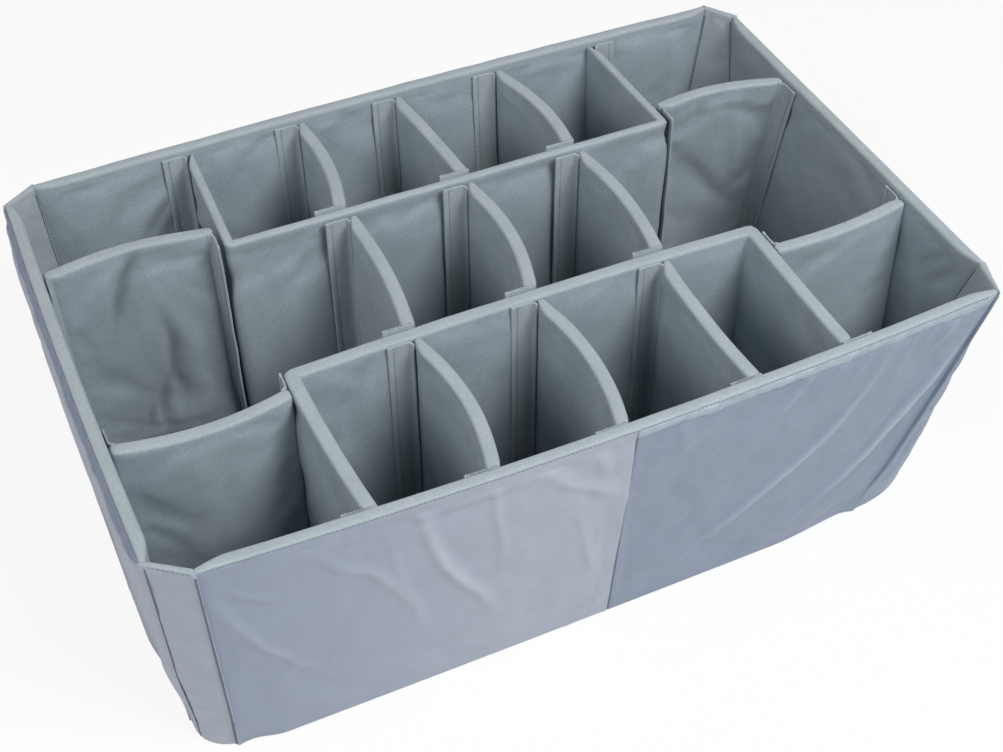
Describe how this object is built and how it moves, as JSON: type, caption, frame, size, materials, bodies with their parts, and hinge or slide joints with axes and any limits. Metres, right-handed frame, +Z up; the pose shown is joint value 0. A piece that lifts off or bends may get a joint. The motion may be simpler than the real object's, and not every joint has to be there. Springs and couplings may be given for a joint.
{
  "type": "case divider set",
  "caption": "Padded open-top liner for a hard case, with padded dividers held by hook-and-loop flaps that lift out and can be moved.",
  "frame": {"origin": "middle of the underside of the liner's bounding box", "axes": "+X along the liner's length to its right end, +Y from its front wall to its back wall, +Z up"},
  "size_m": [0.7745, 0.5155, 0.254],
  "materials": {
    "loop_fabric": "brushed loop fabric over foam, matt grey",
    "outer_nylon": "slick woven nylon, lilac grey, soft sheen",
    "floor_fabric": "brushed loop fabric over foam, matt grey",
    "flap_fabric": "loop fabric flap with hook tape sewn behind it"
  },
  "bodies": {
    "liner": {"front_wall": "outer_nylon", "back_wall": "outer_nylon", "left_wall": "outer_nylon", "right_wall": "outer_nylon", "front_left_gusset": "outer_nylon", "back_left_gusset": "outer_nylon", "back_right_gusset": "outer_nylon", "front_right_gusset": "outer_nylon", "floor_pad": "floor_fabric"},
    "back_long": {"back_long_panel": "loop_fabric", "back_long_left_wing": "loop_fabric", "back_long_right_wing": "loop_fabric"},
    "front_long": {"front_long_panel": "loop_fabric", "front_long_left_wing": "loop_fabric", "front_long_right_wing": "loop_fabric"},
    "back_cross_1": {"back_cross_1_pad": "loop_fabric"},
    "back_cross_2": {"back_cross_2_pad": "loop_fabric"},
    "back_cross_3": {"back_cross_3_pad": "loop_fabric"},
    "middle_cross_1": {"middle_cross_1_pad": "loop_fabric"},
    "middle_cross_2": {"middle_cross_2_pad": "loop_fabric"},
    "middle_cross_3": {"middle_cross_3_pad": "loop_fabric"},
    "front_cross_1": {"front_cross_1_pad": "loop_fabric"},
    "front_cross_2": {"front_cross_2_pad": "loop_fabric"},
    "front_cross_3": {"front_cross_3_pad": "loop_fabric"},
    "end_back_left": {"end_back_left_pad": "loop_fabric"},
    "end_front_left": {"end_front_left_pad": "loop_fabric"},
    "end_back_right": {"end_back_right_pad": "loop_fabric"},
    "end_front_right": {"end_front_right_pad": "loop_fabric"},
    "back_long_left_flap": {"back_long_left_flap": "flap_fabric"},
    "back_long_right_flap": {"back_long_right_flap": "flap_fabric"},
    "front_long_left_flap": {"front_long_left_flap": "flap_fabric"},
    "front_long_right_flap": {"front_long_right_flap": "flap_fabric"},
    "back_cross_1_far_flap": {"back_cross_1_far_flap": "flap_fabric"},
    "back_cross_1_near_flap": {"back_cross_1_near_flap": "flap_fabric"},
    "back_cross_2_far_flap": {"back_cross_2_far_flap": "flap_fabric"},
    "back_cross_2_near_flap": {"back_cross_2_near_flap": "flap_fabric"},
    "back_cross_3_far_flap": {"back_cross_3_far_flap": "flap_fabric"},
    "back_cross_3_near_flap": {"back_cross_3_near_flap": "flap_fabric"},
    "middle_cross_1_far_flap": {"middle_cross_1_far_flap": "flap_fabric"},
    "middle_cross_1_near_flap": {"middle_cross_1_near_flap": "flap_fabric"},
    "middle_cross_2_far_flap": {"middle_cross_2_far_flap": "flap_fabric"},
    "middle_cross_2_near_flap": {"middle_cross_2_near_flap": "flap_fabric"},
    "middle_cross_3_far_flap": {"middle_cross_3_far_flap": "flap_fabric"},
    "middle_cross_3_near_flap": {"middle_cross_3_near_flap": "flap_fabric"},
    "front_cross_1_far_flap": {"front_cross_1_far_flap": "flap_fabric"},
    "front_cross_1_near_flap": {"front_cross_1_near_flap": "flap_fabric"},
    "front_cross_2_far_flap": {"front_cross_2_far_flap": "flap_fabric"},
    "front_cross_2_near_flap": {"front_cross_2_near_flap": "flap_fabric"},
    "front_cross_3_far_flap": {"front_cross_3_far_flap": "flap_fabric"},
    "front_cross_3_near_flap": {"front_cross_3_near_flap": "flap_fabric"},
    "end_back_left_left_flap": {"end_back_left_left_flap": "flap_fabric"},
    "end_back_left_right_flap": {"end_back_left_right_flap": "flap_fabric"},
    "end_front_left_left_flap": {"end_front_left_left_flap": "flap_fabric"},
    "end_front_left_right_flap": {"end_front_left_right_flap": "flap_fabric"},
    "end_back_right_left_flap": {"end_back_right_left_flap": "flap_fabric"},
    "end_back_right_right_flap": {"end_back_right_right_flap": "flap_fabric"},
    "end_front_right_left_flap": {"end_front_right_left_flap": "flap_fabric"},
    "end_front_right_right_flap": {"end_front_right_right_flap": "flap_fabric"}
  },
  "joints": [
    {"name": "back_long_lift", "type": "slide", "parent": "liner", "child": "back_long", "axis": [0, 0, 1], "range_m": [0, 0.26]},
    {"name": "front_long_lift", "type": "slide", "parent": "liner", "child": "front_long", "axis": [0, 0, 1], "range_m": [0, 0.26]},
    {"name": "back_cross_1_lift", "type": "slide", "parent": "liner", "child": "back_cross_1", "axis": [0, 0, 1], "range_m": [0, 0.26]},
    {"name": "back_cross_2_lift", "type": "slide", "parent": "liner", "child": "back_cross_2", "axis": [0, 0, 1], "range_m": [0, 0.26]},
    {"name": "back_cross_3_lift", "type": "slide", "parent": "liner", "child": "back_cross_3", "axis": [0, 0, 1], "range_m": [0, 0.26]},
    {"name": "middle_cross_1_lift", "type": "slide", "parent": "liner", "child": "middle_cross_1", "axis": [0, 0, 1], "range_m": [0, 0.26]},
    {"name": "middle_cross_2_lift", "type": "slide", "parent": "liner", "child": "middle_cross_2", "axis": [0, 0, 1], "range_m": [0, 0.26]},
    {"name": "middle_cross_3_lift", "type": "slide", "parent": "liner", "child": "middle_cross_3", "axis": [0, 0, 1], "range_m": [0, 0.26]},
    {"name": "front_cross_1_lift", "type": "slide", "parent": "liner", "child": "front_cross_1", "axis": [0, 0, 1], "range_m": [0, 0.26]},
    {"name": "front_cross_2_lift", "type": "slide", "parent": "liner", "child": "front_cross_2", "axis": [0, 0, 1], "range_m": [0, 0.26]},
    {"name": "front_cross_3_lift", "type": "slide", "parent": "liner", "child": "front_cross_3", "axis": [0, 0, 1], "range_m": [0, 0.26]},
    {"name": "end_back_left_lift", "type": "slide", "parent": "liner", "child": "end_back_left", "axis": [0, 0, 1], "range_m": [0, 0.26]},
    {"name": "end_front_left_lift", "type": "slide", "parent": "liner", "child": "end_front_left", "axis": [0, 0, 1], "range_m": [0, 0.26]},
    {"name": "end_back_right_lift", "type": "slide", "parent": "liner", "child": "end_back_right", "axis": [0, 0, 1], "range_m": [0, 0.26]},
    {"name": "end_front_right_lift", "type": "slide", "parent": "liner", "child": "end_front_right", "axis": [0, 0, 1], "range_m": [0, 0.26]},
    {"name": "back_long_left_flap_peel", "type": "hinge", "parent": "back_long", "child": "back_long_left_flap", "pos_m": [-0.21101, 0.23456, 0.0146], "axis": [0, 0.0341, 0.9994], "range_deg": [0, 50]},
    {"name": "back_long_right_flap_peel", "type": "hinge", "parent": "back_long", "child": "back_long_right_flap", "pos_m": [0.22923, 0.23443, 0.0146], "axis": [0, -0.0332, -0.9995], "range_deg": [0, 50]},
    {"name": "front_long_left_flap_peel", "type": "hinge", "parent": "front_long", "child": "front_long_left_flap", "pos_m": [-0.21063, -0.23162, 0.0146], "axis": [0, 0.0384, -0.9993], "range_deg": [0, 50]},
    {"name": "front_long_right_flap_peel", "type": "hinge", "parent": "front_long", "child": "front_long_right_flap", "pos_m": [0.22516, -0.23151, 0.0146], "axis": [0, -0.0365, 0.9993], "range_deg": [0, 50]},
    {"name": "back_cross_1_far_flap_peel", "type": "hinge", "parent": "back_cross_1", "child": "back_cross_1_far_flap", "pos_m": [-0.09748, 0.23508, 0.0146], "axis": [0, 0.0382, 0.9993], "range_deg": [0, 50]},
    {"name": "back_cross_1_near_flap_peel", "type": "hinge", "parent": "back_cross_1", "child": "back_cross_1_near_flap", "pos_m": [-0.106, 0.10717, 0.0146], "axis": [0, 0, -1], "range_deg": [0, 50]},
    {"name": "back_cross_2_far_flap_peel", "type": "hinge", "parent": "back_cross_2", "child": "back_cross_2_far_flap", "pos_m": [0.00444, 0.23522, 0.0146], "axis": [0, 0.0393, 0.9992], "range_deg": [0, 50]},
    {"name": "back_cross_2_near_flap_peel", "type": "hinge", "parent": "back_cross_2", "child": "back_cross_2_near_flap", "pos_m": [0.01878, 0.10633, 0.0146], "axis": [0, 0, -1], "range_deg": [0, 50]},
    {"name": "back_cross_3_far_flap_peel", "type": "hinge", "parent": "back_cross_3", "child": "back_cross_3_far_flap", "pos_m": [0.11332, 0.23503, 0.0146], "axis": [0, 0.0378, 0.9993], "range_deg": [0, 50]},
    {"name": "back_cross_3_near_flap_peel", "type": "hinge", "parent": "back_cross_3", "child": "back_cross_3_near_flap", "pos_m": [0.12921, 0.10558, 0.0146], "axis": [0, 0, -1], "range_deg": [0, 50]},
    {"name": "middle_cross_1_far_flap_peel", "type": "hinge", "parent": "middle_cross_1", "child": "middle_cross_1_far_flap", "pos_m": [-0.10174, 0.09044, 0.0146], "axis": [0, 0, 1], "range_deg": [0, 50]},
    {"name": "middle_cross_1_near_flap_peel", "type": "hinge", "parent": "middle_cross_1", "child": "middle_cross_1_near_flap", "pos_m": [-0.10813, -0.06623, 0.0146], "axis": [0, 0, -1], "range_deg": [0, 50]},
    {"name": "middle_cross_2_far_flap_peel", "type": "hinge", "parent": "middle_cross_2", "child": "middle_cross_2_far_flap", "pos_m": [0.0149, 0.08966, 0.0146], "axis": [0, 0, 1], "range_deg": [0, 50]},
    {"name": "middle_cross_2_near_flap_peel", "type": "hinge", "parent": "middle_cross_2", "child": "middle_cross_2_near_flap", "pos_m": [0.00676, -0.06549, 0.0146], "axis": [0, 0, -1], "range_deg": [0, 50]},
    {"name": "middle_cross_3_far_flap_peel", "type": "hinge", "parent": "middle_cross_3", "child": "middle_cross_3_far_flap", "pos_m": [0.13134, 0.08887, 0.0146], "axis": [0, 0, 1], "range_deg": [0, 50]},
    {"name": "middle_cross_3_near_flap_peel", "type": "hinge", "parent": "middle_cross_3", "child": "middle_cross_3_near_flap", "pos_m": [0.13192, -0.06705, 0.0146], "axis": [0, 0, -1], "range_deg": [0, 50]},
    {"name": "front_cross_1_far_flap_peel", "type": "hinge", "parent": "front_cross_1", "child": "front_cross_1_far_flap", "pos_m": [-0.11065, -0.08297, 0.0146], "axis": [0, 0, 1], "range_deg": [0, 50]},
    {"name": "front_cross_1_near_flap_peel", "type": "hinge", "parent": "front_cross_1", "child": "front_cross_1_near_flap", "pos_m": [-0.10949, -0.23219, 0.0146], "axis": [0, 0.0477, -0.9989], "range_deg": [0, 50]},
    {"name": "front_cross_2_far_flap_peel", "type": "hinge", "parent": "front_cross_2", "child": "front_cross_2_far_flap", "pos_m": [0.00521, -0.08218, 0.0146], "axis": [0, 0, 1], "range_deg": [0, 50]},
    {"name": "front_cross_2_near_flap_peel", "type": "hinge", "parent": "front_cross_2", "child": "front_cross_2_near_flap", "pos_m": [0.00386, -0.2324, 0.0146], "axis": [0, 0.0511, -0.9987], "range_deg": [0, 50]},
    {"name": "front_cross_3_far_flap_peel", "type": "hinge", "parent": "front_cross_3", "child": "front_cross_3_far_flap", "pos_m": [0.12921, -0.08369, 0.0146], "axis": [0, 0, 1], "range_deg": [0, 50]},
    {"name": "front_cross_3_near_flap_peel", "type": "hinge", "parent": "front_cross_3", "child": "front_cross_3_near_flap", "pos_m": [0.12921, -0.23211, 0.0146], "axis": [0, 0.0463, -0.9989], "range_deg": [0, 50]},
    {"name": "end_back_left_left_flap_peel", "type": "hinge", "parent": "end_back_left", "child": "end_back_left_left_flap", "pos_m": [-0.3713, 0.12375, 0.0146], "axis": [-0.0076, 0, 1], "range_deg": [0, 50]},
    {"name": "end_back_left_right_flap_peel", "type": "hinge", "parent": "end_back_left", "child": "end_back_left_right_flap", "pos_m": [-0.22101, 0.12143, 0.0146], "axis": [0, 0, -1], "range_deg": [0, 50]},
    {"name": "end_front_left_left_flap_peel", "type": "hinge", "parent": "end_front_left", "child": "end_front_left_left_flap", "pos_m": [-0.37151, -0.09408, 0.0146], "axis": [0.0085, 0, -1], "range_deg": [0, 50]},
    {"name": "end_front_left_right_flap_peel", "type": "hinge", "parent": "end_front_left", "child": "end_front_left_right_flap", "pos_m": [-0.22417, -0.09408, 0.0146], "axis": [0, 0, 1], "range_deg": [0, 50]},
    {"name": "end_back_right_left_flap_peel", "type": "hinge", "parent": "end_back_right", "child": "end_back_right_left_flap", "pos_m": [0.24061, 0.11834, 0.0146], "axis": [0, 0, 1], "range_deg": [0, 50]},
    {"name": "end_back_right_right_flap_peel", "type": "hinge", "parent": "end_back_right", "child": "end_back_right_right_flap", "pos_m": [0.37113, 0.14184, 0.0146], "axis": [-0.006, 0.158, -0.9874], "range_deg": [0, 50]},
    {"name": "end_front_right_left_flap_peel", "type": "hinge", "parent": "end_front_right", "child": "end_front_right_left_flap", "pos_m": [0.23318, -0.10724, 0.0146], "axis": [0, 0, -1], "range_deg": [0, 50]},
    {"name": "end_front_right_right_flap_peel", "type": "hinge", "parent": "end_front_right", "child": "end_front_right_right_flap", "pos_m": [0.37134, -0.11238, 0.0146], "axis": [0.0051, 0.0599, 0.9982], "range_deg": [0, 50]}
  ]
}
